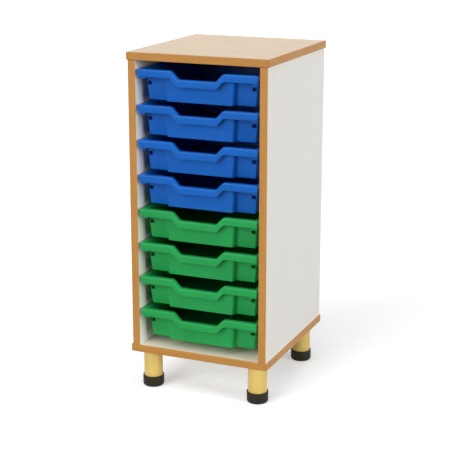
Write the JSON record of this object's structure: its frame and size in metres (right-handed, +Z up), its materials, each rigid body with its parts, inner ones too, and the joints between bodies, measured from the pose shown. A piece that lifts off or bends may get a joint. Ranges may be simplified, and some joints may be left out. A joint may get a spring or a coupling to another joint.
{
  "type": "tray storage unit",
  "caption": "Tall narrow classroom tray unit: beech-edged white carcass on round legs with rubber feet, filled with shallow blue and green plastic trays that slide out on runners.",
  "frame": {"origin": "on the floor, under the middle of the unit", "axes": "+Z up; the trays open towards -Y; +X to the right seen from the front"},
  "size_m": [0.368, 0.402, 0.8601],
  "materials": {
    "beech_laminate": "satin laminate",
    "beech_edging": "satin edging",
    "white_board": "satin melamine",
    "runner_plastic": "satin moulded",
    "blue_plastic": "satin moulded",
    "green_plastic": "satin moulded",
    "dowel_wood": "bare",
    "leg_paint": "satin paint",
    "black_rubber": "matte",
    "plug_plastic": "matte",
    "zinc_steel": "zinc plated"
  },
  "bodies": {
    "carcass": {"top_panel": "beech_laminate", "top_edging_front": "beech_edging", "top_edging_back": "beech_edging", "top_edging_left": "beech_edging", "top_edging_right": "beech_edging", "base_edging_front": "beech_edging", "base_edging_back": "beech_edging", "base_edging_left": "beech_edging", "base_edging_right": "beech_edging", "base_panel": "white_board", "back_panel": "white_board", "left_side_panel": "white_board", "left_side_edging": "beech_edging", "runner_screws_left": "zinc_steel", "runner_left_1": "runner_plastic", "runner_left_2": "runner_plastic", "runner_left_3": "runner_plastic", "runner_left_4": "runner_plastic", "runner_left_5": "runner_plastic", "runner_left_6": "runner_plastic", "runner_left_7": "runner_plastic", "runner_left_8": "runner_plastic", "right_side_panel": "white_board", "right_side_edging": "beech_edging", "runner_screws_right": "zinc_steel", "runner_right_1": "runner_plastic", "runner_right_2": "runner_plastic", "runner_right_3": "runner_plastic", "runner_right_4": "runner_plastic", "runner_right_5": "runner_plastic", "runner_right_6": "runner_plastic", "runner_right_7": "runner_plastic", "runner_right_8": "runner_plastic", "carcass_dowels": "dowel_wood", "leg_front_left": "leg_paint", "foot_front_left": "black_rubber", "leg_plug_front_left": "plug_plastic", "leg_front_right": "leg_paint", "foot_front_right": "black_rubber", "leg_plug_front_right": "plug_plastic", "leg_rear_left": "leg_paint", "foot_rear_left": "black_rubber", "leg_plug_rear_left": "plug_plastic", "leg_rear_right": "leg_paint", "foot_rear_right": "black_rubber", "leg_plug_rear_right": "plug_plastic", "leg_studs": "zinc_steel", "leg_inserts": "zinc_steel"},
    "tray_1": {"tray_1": "blue_plastic"},
    "tray_2": {"tray_2": "blue_plastic"},
    "tray_3": {"tray_3": "blue_plastic"},
    "tray_4": {"tray_4": "blue_plastic"},
    "tray_5": {"tray_5": "green_plastic"},
    "tray_6": {"tray_6": "green_plastic"},
    "tray_7": {"tray_7": "green_plastic"},
    "tray_8": {"tray_8": "green_plastic"}
  },
  "joints": [
    {"name": "tray_1_slide", "type": "slide", "parent": "carcass", "child": "tray_1", "axis": [0, -1, 0], "range_m": [0, 0.28]},
    {"name": "tray_2_slide", "type": "slide", "parent": "carcass", "child": "tray_2", "axis": [0, -1, 0], "range_m": [0, 0.28]},
    {"name": "tray_3_slide", "type": "slide", "parent": "carcass", "child": "tray_3", "axis": [0, -1, 0], "range_m": [0, 0.28]},
    {"name": "tray_4_slide", "type": "slide", "parent": "carcass", "child": "tray_4", "axis": [0, -1, 0], "range_m": [0, 0.28]},
    {"name": "tray_5_slide", "type": "slide", "parent": "carcass", "child": "tray_5", "axis": [0, -1, 0], "range_m": [0, 0.28]},
    {"name": "tray_6_slide", "type": "slide", "parent": "carcass", "child": "tray_6", "axis": [0, -1, 0], "range_m": [0, 0.28]},
    {"name": "tray_7_slide", "type": "slide", "parent": "carcass", "child": "tray_7", "axis": [0, -1, 0], "range_m": [0, 0.28]},
    {"name": "tray_8_slide", "type": "slide", "parent": "carcass", "child": "tray_8", "axis": [0, -1, 0], "range_m": [0, 0.28]}
  ]
}
